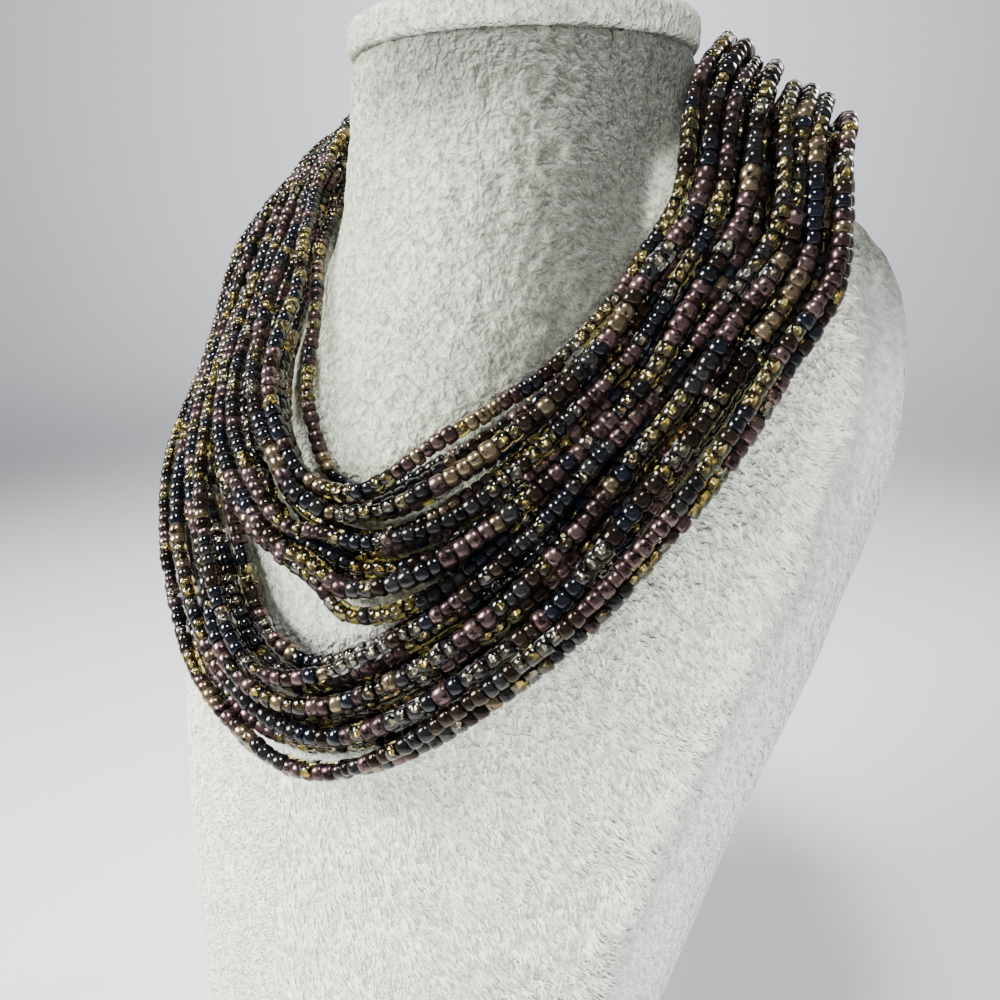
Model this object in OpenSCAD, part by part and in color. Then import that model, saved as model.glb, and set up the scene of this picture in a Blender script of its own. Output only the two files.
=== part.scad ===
// Multi strand necklace of small glass beads on a plain velvet neck bust.
// The bust stands on Z = 0 and faces -Y. The axis of its neck is X = 0, Y = 0.

/* [Neck bust] */
// Height of the whole bust with its cap
bust_height = 285; // [275:1:300]
// Width across the shoulders
shoulder_width = 204; // [200:1:220]
// Width of the neck under the cap
neck_width = 88; // [82:1:92]
// Depth from the front of the foot to the back of the neck
bust_depth = 149; // [145:1:165]

/* [Neck cap] */
// Height of the padded cap on the neck
cap_height = 7.7; // [5:0.1:8]
// How far the cap stands out past the neck
cap_overhang = 0.8; // [0:0.1:2]
// Radius of the cap's upper edge
cap_edge = 3; // [2:0.1:4]

/* [Strands] */
// Diameter of the larger beads
large_bead = 3.9; // [3.4:0.1:4]
// Diameter of the smaller beads
small_bead = 3.4; // [2.8:0.1:3.6]
// Space between neighbouring strands where they lie closest
strand_gap = 0.25; // [0.2:0.05:0.4]

/* [Clasp] */
// Width of the clasp from strand end to strand end
clasp_width = 17.4; // [12:0.1:20]
// Height of the clasp
clasp_height = 37; // [37:0.5:42]
// Depth of the clasp
clasp_depth = 13.6; // [13:0.1:16]
// Radius of the clasp's upright edges
clasp_edge = 3; // [1:0.5:5]

/* [Hidden] */
// Space left between pieces that seat on each other
fit = 0.3;
strands = 24;
lanes = 4;        // strands side by side in each of the two groups
layers = 3;       // strands one over the other
ring_count = 33;  // rings along a strand's tube
ring_sides = 8;

function strand_name(i) = str("strand_", i < 9 ? "0" : "", i + 1);

// The bust's sections. Heights are shares of the body's height. Widths run from 0 at the neck's
// half width to 1 at the shoulder's. Depths are shares of the bust's depth.
// height, body width, body middle, body front, body back, neck width, neck front, neck back
SECTIONS = [
    [0.000, 0.517, -0.477, 0.255, 0.510, 0.483, 0.007, 0.007],
    [0.108, 0.578, -0.443, 0.268, 0.483, 0.552, 0.007, 0.007],
    [0.217, 0.638, -0.403, 0.289, 0.456, 0.552, 0.007, 0.007],
    [0.325, 0.724, -0.356, 0.309, 0.416, 0.552, 0.007, 0.007],
    [0.433, 0.810, -0.295, 0.336, 0.362, 0.552, 0.034, 0.034],
    [0.542, 0.914, -0.188, 0.389, 0.268, 0.517, 0.201, 0.067],
    [0.596, 0.948, -0.141, 0.396, 0.255, 0.397, 0.322, 0.168],
    [0.650, 0.983, -0.094, 0.356, 0.242, 0.293, 0.389, 0.228],
    [0.704, 1.000, -0.060, 0.275, 0.221, 0.224, 0.403, 0.255],
    [0.758, 0.983, -0.034, 0.208, 0.201, 0.172, 0.383, 0.268],
    [0.812, 0.914, -0.013, 0.161, 0.174, 0.121, 0.349, 0.268],
    [0.852, 0.793, 0.000, 0.141, 0.154, 0.078, 0.322, 0.268],
    [0.881, 0.603, 0.000, 0.134, 0.141, 0.052, 0.302, 0.265],
    [0.903, 0.345, 0.000, 0.134, 0.134, 0.043, 0.292, 0.262],
    [0.921, 0.138, 0.000, 0.134, 0.134, 0.034, 0.285, 0.262],
    [0.946, 0.026, 0.000, 0.134, 0.134, 0.026, 0.275, 0.258],
    [0.990, 0.000, 0.000, 0.134, 0.134, 0.000, 0.268, 0.255],
    [1.000, -0.017, 0.000, 0.134, 0.134, -0.017, 0.261, 0.248],
];

// The route of the whole sheet of strands in front of the neck, from the far shoulder to the near
// one, as points on the bust in its first size: 285 high, 204 and 88 wide and 149 deep.
// inner edge x y z, middle x y z, outer edge x y z, share of the sheet that is left bare
ROUTE = [
    [-50.5,  -5,   258.5,  -66.5,  -2,   254,    -81.5,   0,   246,    0],
    [-48,   -19,   247,    -69.5, -17,   239.5,  -88.5, -18,   227,    0],
    [-40,   -32,   237,    -65,   -31.5, 221,    -85,   -32.5, 206,    0],
    [-31.5, -44.6, 228.3,  -57,   -47.5, 205.5,  -78.5, -46,   189.5,  0],
    [-22,   -56,   218.5,  -46,   -62.5, 193,    -67.5, -62.5, 174,    0],
    [-14,   -66,   208.5,  -31,   -76,   182,    -51,   -77.5, 158.5,  0.02],
    [ -6,   -73,   198.5,  -14,   -84,   171.5,  -32.5, -88.5, 146,    0.13],
    [  3,   -77,   188,      0,   -88,   163,    -12,   -95.5, 137,    0.29],
    [ 12.5, -76,   185,     11,   -88,   161,      9.5, -96,   132.5,  0.29],
    [ 22,   -72.5, 188,     22.5, -85.5, 162,     26.5, -91.5, 136,    0.13],
    [ 31,   -66.5, 194,     36.5, -79.5, 169.5,   41.5, -86,   145,    0],
    [ 38,   -57.5, 201,     48.5, -66.5, 181.5,   58,   -73,   161,    0],
    [ 44,   -47,   209.5,   56,   -52.5, 194.5,   68.5, -57.5, 178,    0],
    [ 48,   -38,   217.5,   62.5, -39.5, 207,     76.5, -41.5, 196.5,  0],
    [ 52,   -28.5, 227,     66.5, -28.5, 220.5,   81.5, -27.5, 212.5,  0],
    [ 56.3, -18.3, 241.3,   71,   -17,   236.5,   86,   -15,   228,    0],
    [ 50.8,  -5.2, 261.7,   65,    -2.5, 257,     79.5,  -1,   249.5,  0],
];
// The same from the shoulder to the back of the neck, used on both sides.
BACK_ROUTE = [
    [46.5,  8,   271.5,  57, 15.5, 263,    68, 19.5, 252,  0],
    [39,   23.5, 272.5,  46, 28,   258.5,  53, 31.5, 244,  0],
    [26,   35.5, 272,    28, 38,   258,    30, 39,   243,  0],
];
ROUTE_SIZE = [88, 204, 149, 285];
// Strands that wander off the sheet: strand, place along the route, length of the bend, share
STRAYS = [
    [7, 12.9, 1.2, 0.03],
    [19, 8.0, 2.0, 0.04],
];

body_height = bust_height - cap_height - fit;
neck_half = neck_width / 2;
shoulder_half = shoulder_width / 2;
layer_slack = 0.05;    // more room between layers than between lanes
lane_step = large_bead + strand_gap;
layer_step = lane_step + layer_slack;
around_shoulder = 4;  // points on a quarter of a section outside the neck
around_neck = 7;      // points on a quarter of a section in front of the neck
front_power = 1.15;   // 1 makes the chest an ellipse, more makes it more pointed
blend_power = 6;      // how sharply the neck meets the body
least_split = 18;     // least angle that the shoulder's points cover

// Slope at point i of a column of heights and widths, level at every turn so nothing overshoots.
function run_slope(T, i, c) = (T[i + 1][c] - T[i][c]) / (T[i + 1][0] - T[i][0]);
function slope(T, i, c) =
    i == 0 ? run_slope(T, 0, c)
    : i == len(T) - 1 ? run_slope(T, i - 1, c)
    : let (a = run_slope(T, i - 1, c), b = run_slope(T, i, c))
      a * b > 0 ? 2 * a * b / (a + b) : 0;
function section_row(h, i = 0) = i >= len(SECTIONS) - 2 || h < SECTIONS[i + 1][0] ? i : section_row(h, i + 1);
function eased(T, i, h, c) =
    let (w = T[i + 1][0] - T[i][0], t = (h - T[i][0]) / w)
    (1 + 2 * t) * (1 - t) * (1 - t) * T[i][c]
    + t * (1 - t) * (1 - t) * w * slope(T, i, c)
    + t * t * (3 - 2 * t) * T[i + 1][c]
    + t * t * (t - 1) * w * slope(T, i + 1, c);
// The section at height share h in millimetres, with the columns of SECTIONS
function section(h) =
    let (i = section_row(h), spread = shoulder_half - neck_half, d = bust_depth)
    [
        h * body_height,
        neck_half + eased(SECTIONS, i, h, 1) * spread,
        eased(SECTIONS, i, h, 2) * d,
        eased(SECTIONS, i, h, 3) * d,
        eased(SECTIONS, i, h, 4) * d,
        neck_half + eased(SECTIONS, i, h, 5) * spread,
        eased(SECTIONS, i, h, 6) * d,
        eased(SECTIONS, i, h, 7) * d,
    ];
function joined(a, b) = pow(pow(a, blend_power) + pow(b, blend_power), 1 / blend_power);
// A point of section s at angle t, from 0 at +X round to the front at -90
function section_point(s, t) =
    let (
        x = s[1] * cos(t),
        across = abs(sin(t)),
        neck = sqrt(max(0, 1 - (x / s[5]) * (x / s[5])))
    )
    [
        x,
        t < 0 ? s[2] - joined(s[3] * pow(across, front_power), s[6] * neck)
              : s[2] + joined(s[4] * across, s[7] * neck),
        s[0],
    ];
// Angles of a quarter: even steps over the shoulder, then even steps round the neck's ellipse
function quarter(s) =
    let (
        split = max(acos(min(1, s[5] / s[1])), least_split),
        start = acos(min(1, s[1] * cos(split) / s[5]))
    )
    concat(
        [for (k = [0 : around_shoulder - 1]) split * k / around_shoulder],
        [for (k = [0 : around_neck - 1])
            acos(min(cos(split), s[5] * cos(start + (90 - start) * k / around_neck) / s[1]))]
    );
function ring_angles(s) =
    let (q = quarter(s), n = len(q))
    concat(
        [for (k = [0 : n - 1]) q[k]],
        [for (k = [0 : n - 1]) k == 0 ? 90 : 180 - q[n - k]],
        [for (k = [0 : n - 1]) q[k] - 180],
        [for (k = [0 : n - 1]) k == 0 ? -90 : -q[n - k]]
    );
function section_ring(s) = [for (t = ring_angles(s)) section_point(s, t)];

// A closed skin over rings of n points each, the rings counterclockwise seen from the last one
module skin(rings) {
    n = len(rings[0]);
    last = len(rings) - 1;
    polyhedron(
        points = [for (r = rings) each r],
        faces = concat(
            [[for (k = [0 : n - 1]) k]],
            [[for (k = [0 : n - 1]) last * n + n - 1 - k]],
            [for (j = [0 : last - 1], k = [0 : n - 1], half = [0, 1])
                let (a = j * n + k, b = j * n + (k + 1) % n)
                half == 0 ? [a, a + n, b] : [b, a + n, b + n]]
        ),
        convexity = 6
    );
}

// Heights of the rings: each section, and one more level after it where the chest curves most
curved = [4, 14];
function more_levels(i) = i >= curved[0] && i <= curved[1] ? 1 : 0;
levels = [for (i = [0 : len(SECTIONS) - 2], k = [0 : more_levels(i)])
    SECTIONS[i][0] + (SECTIONS[i + 1][0] - SECTIONS[i][0]) * k / (more_levels(i) + 1)];

module neck_bust() {
    color("antiquewhite")
    skin([for (h = concat(levels, [1])) section_ring(section(h))]);
}

// The cap's edge: a quarter round of lower_edge below and one of cap_edge above
lower_edge = 1.5;
function cap_rings() = concat(
    [for (a = [0 : 45 : 90]) [lower_edge * (1 - cos(a)), lower_edge * (1 - sin(a))]],
    [for (a = [0 : 30 : 90]) [cap_height - cap_edge * (1 - sin(a)), cap_edge * (1 - cos(a))]]
);
cap_sides = 40;
module neck_cap() {
    top = section(SECTIONS[len(SECTIONS) - 2][0]);
    half_width = top[5] + cap_overhang;
    color("antiquewhite")
    skin([for (r = cap_rings())
        [for (k = [0 : cap_sides - 1])
            let (t = 360 * k / cap_sides, depth = t > 180 ? top[6] : top[7])
            [
                (half_width - r[1]) * cos(t),
                (depth + cap_overhang - r[1]) * sin(t),
                bust_height - cap_height + r[0],
            ]]]);
}

function unit(v) = v / norm(v);
function part_of(row, k) = [row[k], row[k + 1], row[k + 2]];
function mirrored(row) = [for (k = [0 : 9]) k == 0 || k == 3 || k == 6 ? -row[k] : row[k]];
function sized(row) =
    let (
        x_in = neck_width / ROUTE_SIZE[0],
        x_out = shoulder_width / ROUTE_SIZE[1],
        y = bust_depth / ROUTE_SIZE[2],
        z = bust_height / ROUTE_SIZE[3],
        x_mid = (x_in + x_out) / 2
    )
    [
        row[0] * x_in, row[1] * y, row[2] * z,
        row[3] * x_mid, row[4] * y, row[5] * z,
        row[6] * x_out, row[7] * y, row[8] * z,
        row[9],
    ];
clasp_middle = 259.2 * bust_height / ROUTE_SIZE[3];
first_layer_y = 42 * bust_depth / ROUTE_SIZE[2];
sheet_half = (2 * lanes - 1) / 2 * lane_step;
function clasp_row(side) =
    let (x = side * (clasp_width / 2 + fit), y = first_layer_y)
    [x, y, clasp_middle + sheet_half, x, y, clasp_middle, x, y, clasp_middle - sheet_half, 0];
sheet = concat(
    [clasp_row(-1)],
    [for (k = [len(BACK_ROUTE) - 1 : -1 : 0]) sized(mirrored(BACK_ROUTE[k]))],
    [for (row = ROUTE) sized(row)],
    [for (row = BACK_ROUTE) sized(row)],
    [clasp_row(1)]
);
sheet_end = len(sheet) - 1;

// A smooth run through the rows of the sheet, u from 0 to sheet_end
function row_slope(i) =
    i == 0 ? sheet[1] - sheet[0]
    : i == sheet_end ? sheet[i] - sheet[i - 1]
    : (sheet[i + 1] - sheet[i - 1]) / 2;
function sheet_row(u) =
    let (i = min(floor(u), sheet_end - 1), t = u - i)
    (2 * t * t * t - 3 * t * t + 1) * sheet[i]
    + (t * t * t - 2 * t * t + t) * row_slope(i)
    + (3 * t * t - 2 * t * t * t) * sheet[i + 1]
    + (t * t * t - t * t) * row_slope(i + 1);
// A point of a row at share f of its width, on the parabola through its three points
function across_row(row, f) =
    part_of(row, 0) * (2 * f * f - 3 * f + 1)
    + part_of(row, 3) * (4 * f - 4 * f * f)
    + part_of(row, 6) * (2 * f * f - f);

// Slope of that parabola, in millimetres for the whole width
function across_slope(row, f) =
    part_of(row, 0) * (4 * f - 3) + part_of(row, 3) * (4 - 8 * f) + part_of(row, 6) * (4 * f - 1);

stagger = 0.25;       // how far each layer stands to one side, in lanes
still_until = 0.13;   // share of the route, from the clasp on, where the strands keep in line
free_after = 0.28;    // share from which they wander as far as their room lets them
low_wander = 0.25;    // how much of the free room a strand of the lower layers takes up
top_wander = 0.5;     // the same for the top layer
top_sway = 1.1;       // how far the top layer's lanes sway together
lane_sways = [0.2, 1, 1, 0.2];
sway_waves = 3.1;     // waves of that along the route
sway_turn = 0.15;     // where they start
group_turn = 0.3;     // how far they shift from group to group
short_step = 0.005;   // a step along the route that is as good as a point
across_lanes = 2 * lanes - 1;
function group_of(i) = floor(i / (lanes * layers));
function layer_of(i) = floor(i / lanes) % layers;
function freedom(s) = max(0, min(1, (min(s, 1 - s) - still_until) / (free_after - still_until)));
function wave(turns) = sin(360 * turns);
// A slow and a quick wave, other ones for each strand
function own_wave(i, s) =
    0.6 * wave((2.1 + 0.37 * (i % 5)) * s + 0.618 * i) + 0.4 * wave((4.3 + 0.29 * (i % 7)) * s + 0.382 * i);
function stray(i, u) =
    let (found = [for (r = STRAYS) if (r[0] == i && abs(u - r[1]) < r[2]) r])
    len(found) == 0 ? 0 : found[0][3] * (1 + cos(180 * (u - found[0][1]) / found[0][2])) / 2;
// Strand i is lane i % 4 of layer floor(i / 4) % 3 in group floor(i / 12)
function first_place(i) = i % lanes + (layer_of(i) == 1 ? stagger : -stagger);
function share_at(i, place, bare) =
    group_of(i) == 0 ? place / across_lanes * (1 - bare)
    : 1 - (lanes - 1 - place) / across_lanes * (1 - bare);
function along_at(u, f) =
    unit(across_row(sheet_row(min(sheet_end, u + short_step)), f)
         - across_row(sheet_row(max(0, u - short_step)), f));
// Space from lane to lane, measured straight across the strands
function lane_space(i, u, row) =
    let (f = share_at(i, first_place(i), row[9]))
    norm(cross(across_slope(row, f), along_at(u, f))) * (1 - row[9]) / across_lanes;
function free_room(space) = max(0, 1 - layer_step / space) / 2;
function place_of(i, u, space) =
    let (
        s = u / sheet_end,
        top = layer_of(i) == layers - 1,
        own = own_wave(i, s) * (top ? top_wander : low_wander),
        together = top ? top_sway * lane_sways[i % lanes] * wave(sway_waves * s + sway_turn + group_turn * group_of(i)) : 0
    )
    first_place(i) + freedom(s) * free_room(space) * (own + together);
// The second layer lies in the dips of the first one, the third over the second.
function layer_height(i, space) =
    let (dip = max(0, space / 2 - 2 * low_wander * free_room(space) * space))
    layer_of(i) == 0 ? 0
    : sqrt(max(0, layer_step * layer_step - dip * dip)) + (layer_of(i) - 1) * layer_step;
function strand_frame(i, u) =
    let (
        row = sheet_row(u),
        space = lane_space(i, u, row),
        f = share_at(i, place_of(i, u, space), row[9]) + stray(i, u),
        side = group_of(i) == 0 ? part_of(row, 3) - part_of(row, 0) : part_of(row, 6) - part_of(row, 3),
        outward = unit(cross(side, along_at(u, f)))
    )
    [across_row(row, f) + outward * layer_height(i, space), outward];
// Two strands in five are of small beads.
function bead_size(i) = (7 * i) % 5 < 2 ? small_bead : large_bead;
// A ring lies across the strand, and both end rings lie flat against the clasp's sides.
function strand_ring(i, u) =
    let (
        here = strand_frame(i, u),
        back = strand_frame(i, max(0, u - short_step)),
        ahead = strand_frame(i, min(sheet_end, u + short_step)),
        along = u == 0 || u == sheet_end ? [-1, 0, 0] : unit(ahead[0] - back[0]),
        side = unit(cross(along, here[1])),
        up = cross(side, along),
        r = bead_size(i) / 2
    )
    [for (k = [0 : ring_sides - 1])
        let (a = 360 * (k + 0.5) / ring_sides)
        here[0] + side * r * cos(a) - up * r * sin(a)];
STRAND_COLOURS = ["saddlebrown", "midnightblue", "darkgoldenrod", "dimgray", "rosybrown"];
module strand(i) {
    color(STRAND_COLOURS[i % len(STRAND_COLOURS)])
    skin([for (k = [0 : ring_count - 1]) strand_ring(i, sheet_end * k / (ring_count - 1))]);
}

// The clasp stands just behind the neck and takes all layers between its faces.
clasp_margin = 0.15;
clasp_front = first_layer_y - large_bead / 2 - clasp_margin;
module clasp() {
    inner = [clasp_width - 2 * clasp_edge, clasp_depth - 2 * clasp_edge];
    color("darkgoldenrod")
    translate([-clasp_width / 2, clasp_front, clasp_middle - clasp_height / 2])
    linear_extrude(clasp_height) {
        translate([clasp_edge, 0]) square([inner[0], clasp_depth]);
        translate([0, clasp_edge]) square([clasp_width, inner[1]]);
        for (x = [clasp_edge, clasp_width - clasp_edge], y = [clasp_edge, clasp_depth - clasp_edge])
            translate([x, y]) circle(r = clasp_edge, $fn = 32);
    }
}

neck_bust();
neck_cap();
clasp();
for (i = [0 : strands - 1])
    strand(i);
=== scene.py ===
"""A necklace of many strands of small glass beads on a cream velvet neck bust."""

import math
import random

import bpy
import numpy as np
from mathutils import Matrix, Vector, noise


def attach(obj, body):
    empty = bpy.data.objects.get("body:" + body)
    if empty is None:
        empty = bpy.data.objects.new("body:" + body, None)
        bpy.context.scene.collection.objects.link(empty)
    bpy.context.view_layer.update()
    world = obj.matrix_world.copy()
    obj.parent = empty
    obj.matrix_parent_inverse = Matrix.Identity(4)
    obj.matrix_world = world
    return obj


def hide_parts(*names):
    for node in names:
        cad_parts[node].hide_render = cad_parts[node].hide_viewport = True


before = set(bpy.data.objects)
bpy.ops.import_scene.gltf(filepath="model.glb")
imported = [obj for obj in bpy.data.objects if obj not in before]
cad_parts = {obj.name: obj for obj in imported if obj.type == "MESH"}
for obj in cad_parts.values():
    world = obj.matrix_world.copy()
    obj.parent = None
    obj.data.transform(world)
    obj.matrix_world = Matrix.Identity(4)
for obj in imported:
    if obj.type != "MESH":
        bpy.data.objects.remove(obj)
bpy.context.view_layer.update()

MM = 0.001
NOISE_SEED = 7
noise.seed_set(NOISE_SEED)

# Camera, at the place from which the necklace was looked at

CAMERA_PLACE = (125.9, -175.6, 242.0)
CAMERA_PITCH = 21
CAMERA_YAW = 37
LENS = 27
SENSOR_WIDTH = 36
NEAREST = 0.005


def make_camera():
    data = bpy.data.cameras.new("camera")
    data.lens = LENS
    data.sensor_width = SENSOR_WIDTH
    data.clip_start = NEAREST
    camera = bpy.data.objects.new("camera", data)
    camera.location = Vector(CAMERA_PLACE) * MM
    camera.rotation_euler = (math.radians(90 - CAMERA_PITCH), 0, math.radians(CAMERA_YAW))
    bpy.context.scene.collection.objects.link(camera)
    bpy.context.scene.camera = camera


make_camera()

# The bust's sizes, in millimetres

BUST_HEIGHT = 285
SHOULDER_WIDTH = 204
NECK_WIDTH = 88
BUST_DEPTH = 149
CAP_HEIGHT = 7.7
CAP_OVERHANG = 0.8
CAP_EDGE = 3
LOWER_EDGE = 1.5
FIT = 0.3
BODY_HEIGHT = BUST_HEIGHT - CAP_HEIGHT - FIT
FOOT_EDGE = 2.0
FRONT_POWER = 1.15
BLEND_POWER = 6

# Sections from the foot up, in shares: height, body width, body middle, body front, body back, neck width,
# neck front, neck back. The widths are shares of the shoulders' reach past the neck, the depths of the depth.
SECTIONS = np.array([
    [0.000, 0.517, -0.477, 0.255, 0.510, 0.483, 0.007, 0.007],
    [0.108, 0.578, -0.443, 0.268, 0.483, 0.552, 0.007, 0.007],
    [0.217, 0.638, -0.403, 0.289, 0.456, 0.552, 0.007, 0.007],
    [0.325, 0.724, -0.356, 0.309, 0.416, 0.552, 0.007, 0.007],
    [0.433, 0.810, -0.295, 0.336, 0.362, 0.552, 0.034, 0.034],
    [0.542, 0.914, -0.188, 0.389, 0.268, 0.517, 0.201, 0.067],
    [0.596, 0.948, -0.141, 0.396, 0.255, 0.397, 0.322, 0.168],
    [0.650, 0.983, -0.094, 0.356, 0.242, 0.293, 0.389, 0.228],
    [0.704, 1.000, -0.060, 0.275, 0.221, 0.224, 0.403, 0.255],
    [0.758, 0.983, -0.034, 0.208, 0.201, 0.172, 0.383, 0.268],
    [0.812, 0.914, -0.013, 0.161, 0.174, 0.121, 0.349, 0.268],
    [0.852, 0.793, 0.000, 0.141, 0.154, 0.078, 0.322, 0.268],
    [0.881, 0.603, 0.000, 0.134, 0.141, 0.052, 0.302, 0.265],
    [0.903, 0.345, 0.000, 0.134, 0.134, 0.043, 0.292, 0.262],
    [0.921, 0.138, 0.000, 0.134, 0.134, 0.034, 0.285, 0.262],
    [0.946, 0.026, 0.000, 0.134, 0.134, 0.026, 0.275, 0.258],
    [0.990, 0.000, 0.000, 0.134, 0.134, 0.000, 0.268, 0.255],
    [1.000, -0.017, 0.000, 0.134, 0.134, -0.017, 0.261, 0.248],
])

# The sheet of strands in front of the neck, from the far shoulder to the near one, in millimetres:
# inner edge x y z, middle x y z, outer edge x y z, share of the sheet that is left bare
ROUTE = [
    [-50.5, -5, 258.5, -66.5, -2, 254, -81.5, 0, 246, 0],
    [-48, -19, 247, -69.5, -17, 239.5, -88.5, -18, 227, 0],
    [-40, -32, 237, -65, -31.5, 221, -85, -32.5, 206, 0],
    [-31.5, -44.6, 228.3, -57, -47.5, 205.5, -78.5, -46, 189.5, 0],
    [-22, -56, 218.5, -46, -62.5, 193, -67.5, -62.5, 174, 0],
    [-14, -66, 208.5, -31, -76, 182, -51, -77.5, 158.5, 0.02],
    [-6, -73, 198.5, -14, -84, 171.5, -32.5, -88.5, 146, 0.13],
    [3, -77, 188, 0, -88, 163, -12, -95.5, 137, 0.29],
    [12.5, -76, 185, 11, -88, 161, 9.5, -96, 132.5, 0.29],
    [22, -72.5, 188, 22.5, -85.5, 162, 26.5, -91.5, 136, 0.13],
    [31, -66.5, 194, 36.5, -79.5, 169.5, 41.5, -86, 145, 0],
    [38, -57.5, 201, 48.5, -66.5, 181.5, 58, -73, 161, 0],
    [44, -47, 209.5, 56, -52.5, 194.5, 68.5, -57.5, 178, 0],
    [48, -38, 217.5, 62.5, -39.5, 207, 76.5, -41.5, 196.5, 0],
    [52, -28.5, 227, 66.5, -28.5, 220.5, 81.5, -27.5, 212.5, 0],
    [56.3, -18.3, 241.3, 71, -17, 236.5, 86, -15, 228, 0],
    [50.8, -5.2, 261.7, 65, -2.5, 257, 79.5, -1, 249.5, 0],
]
# The same from the shoulder to the back of the neck, used on both sides
BACK_ROUTE = [
    [46.5, 8, 271.5, 57, 15.5, 263, 68, 19.5, 252, 0],
    [39, 23.5, 272.5, 46, 28, 258.5, 53, 31.5, 244, 0],
    [26, 35.5, 272, 28, 38, 258, 30, 39, 243, 0],
]
# Strands that wander off the sheet: strand, place along the route, length of the bend, share
STRAYS = [
    (7, 12.9, 1.2, 0.03),
    (19, 8.0, 2.0, 0.04),
]
STRANDS = 24
LANES = 4
LAYERS = 3
LARGE_BEAD = 3.9
SMALL_BEAD = 3.4
STRAND_GAP = 0.25
LAYER_SLACK = 0.05
LANE_STEP = LARGE_BEAD + STRAND_GAP
LAYER_STEP = LANE_STEP + LAYER_SLACK
CLASP_WIDTH = 17.4
CLASP_MIDDLE = 259.2
FIRST_LAYER_Y = 42
STAGGER = 0.25
STILL_UNTIL = 0.13
FREE_AFTER = 0.28
LOW_WANDER = 0.25
TOP_WANDER = 0.5
TOP_SWAY = 1.1
LANE_SWAYS = (0.2, 1, 1, 0.2)
SWAY_WAVES = 3.1
SWAY_TURN = 0.15
GROUP_TURN = 0.3
SHORT_STEP = 0.005
ACROSS_LANES = 2 * LANES - 1
# Waves along a strand: the fewest, how many more from strand to strand, after how many strands that starts
# again, and the shift from strand to strand
SLOW_WAVES = (2.1, 0.37, 5, 0.618)
QUICK_WAVES = (4.3, 0.29, 7, 0.382)
SLOW_SHARE = 0.6
QUICK_SHARE = 0.4


# Small helpers

def unit(vectors):
    return vectors / np.linalg.norm(vectors, axis=-1, keepdims=True)


def smooth_step(first, second, value):
    """Goes softly from 0 at the first value to 1 at the second one."""
    t = np.clip((value - first) / (second - first), 0, 1)
    return t * t * (3 - 2 * t)


def hump(value, middle, width):
    """1 in the middle, falling softly to both sides."""
    return np.exp(-((value - middle) / width) ** 2)


def new_mesh(name, verts, faces, edges=()):
    mesh = bpy.data.meshes.new(name)
    mesh.from_pydata(verts, edges, faces)
    mesh.polygons.foreach_set("use_smooth", [True] * len(faces))
    return mesh


def store(mesh, name, values, kind="FLOAT", domain="POINT"):
    """Stores a value for every point or face of the mesh under a name."""
    attribute = mesh.attributes.new(name, kind, domain)
    field = "vector" if kind == "FLOAT_VECTOR" else "value"
    number = {"INT": np.int32, "BOOLEAN": bool}.get(kind, np.float32)
    attribute.data.foreach_set(field, np.asarray(values, number).ravel())


def add_piece(name, mesh):
    piece = bpy.data.objects.new(name, mesh)
    bpy.context.scene.collection.objects.link(piece)
    return piece


# Helpers for nodes

def give(socket, value):
    """Sets an input to a plain value, or links the output that is given in its place."""
    if isinstance(value, bpy.types.NodeSocket):
        socket.id_data.links.new(value, socket)
    else:
        socket.default_value = value


def fill(node, **values):
    """Gives values to inputs by their names, in which _ stands for a space."""
    for name, value in values.items():
        give(node.inputs[name.replace("_", " ")], value)


def add_node(nodes, kind, *inputs, **values):
    """A new node. Named values set a property or else an input, the others its inputs in their order."""
    node = nodes.new(kind)
    for name, value in values.items():
        if hasattr(node, name):
            setattr(node, name, value)
        else:
            fill(node, **{name: value})
    for socket, value in zip(node.inputs, inputs):
        if value is not None:
            give(socket, value)
    return node


def calculated(nodes, operation, *values):
    return add_node(nodes, "ShaderNodeMath", *values, operation=operation).outputs[0]


def scaled(nodes, vector, factor):
    return add_node(nodes, "ShaderNodeVectorMath", operation="SCALE", Vector=vector, Scale=factor).outputs[0]


def noise_node(nodes, place, scale, detail=2.0, roughness=0.5):
    return add_node(
        nodes, "ShaderNodeTexNoise", Vector=place, Scale=scale, Detail=detail, Roughness=roughness)


def grain(nodes, place, scale, detail=2.0, roughness=0.5):
    """Noise between 0 and 1, a half on average. The scale is in waves to the metre."""
    return noise_node(nodes, place, scale, detail, roughness).outputs["Fac"]


def ranged(nodes, value, low=0.0, high=1.0, at_low=0.0, at_high=1.0):
    """A number that goes from one value to another while the given one goes from low to high."""
    return add_node(nodes, "ShaderNodeMapRange", value, low, high, at_low, at_high).outputs["Result"]


def mixed(nodes, kind, share, first, second):
    """A number (FLOAT) or a colour (RGBA) between two, by the second one's share."""
    place, result = {"FLOAT": (2, 0), "RGBA": (6, 2)}[kind]
    node = add_node(nodes, "ShaderNodeMix", share, data_type=kind)
    give(node.inputs[place], first)
    give(node.inputs[place + 1], second)
    return node.outputs[result]


def colour_ramp(nodes, value, first, second, first_at=0.0, second_at=1.0):
    """A colour that goes from the first one to the second while the value goes from place to place."""
    node = add_node(nodes, "ShaderNodeValToRGB", value)
    for element, colour, place in zip(node.color_ramp.elements, (first, second), (first_at, second_at)):
        element.position = place
        element.color = (*colour, 1)
    return node.outputs["Color"]


def bumped(nodes, height, strength, distance):
    bump = add_node(nodes, "ShaderNodeBump", Strength=strength, Distance=distance, Height=height)
    return bump.outputs["Normal"]


def attribute_of(nodes, name):
    return add_node(nodes, "ShaderNodeAttribute", attribute_name=name).outputs["Fac"]


def new_material(name):
    """A material with its nodes, its shader and the place on the object."""
    material = bpy.data.materials.new(name)
    material.use_nodes = True
    nodes = material.node_tree.nodes
    return material, nodes, nodes["Principled BSDF"], add_node(nodes, "ShaderNodeTexCoord").outputs["Object"]


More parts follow.
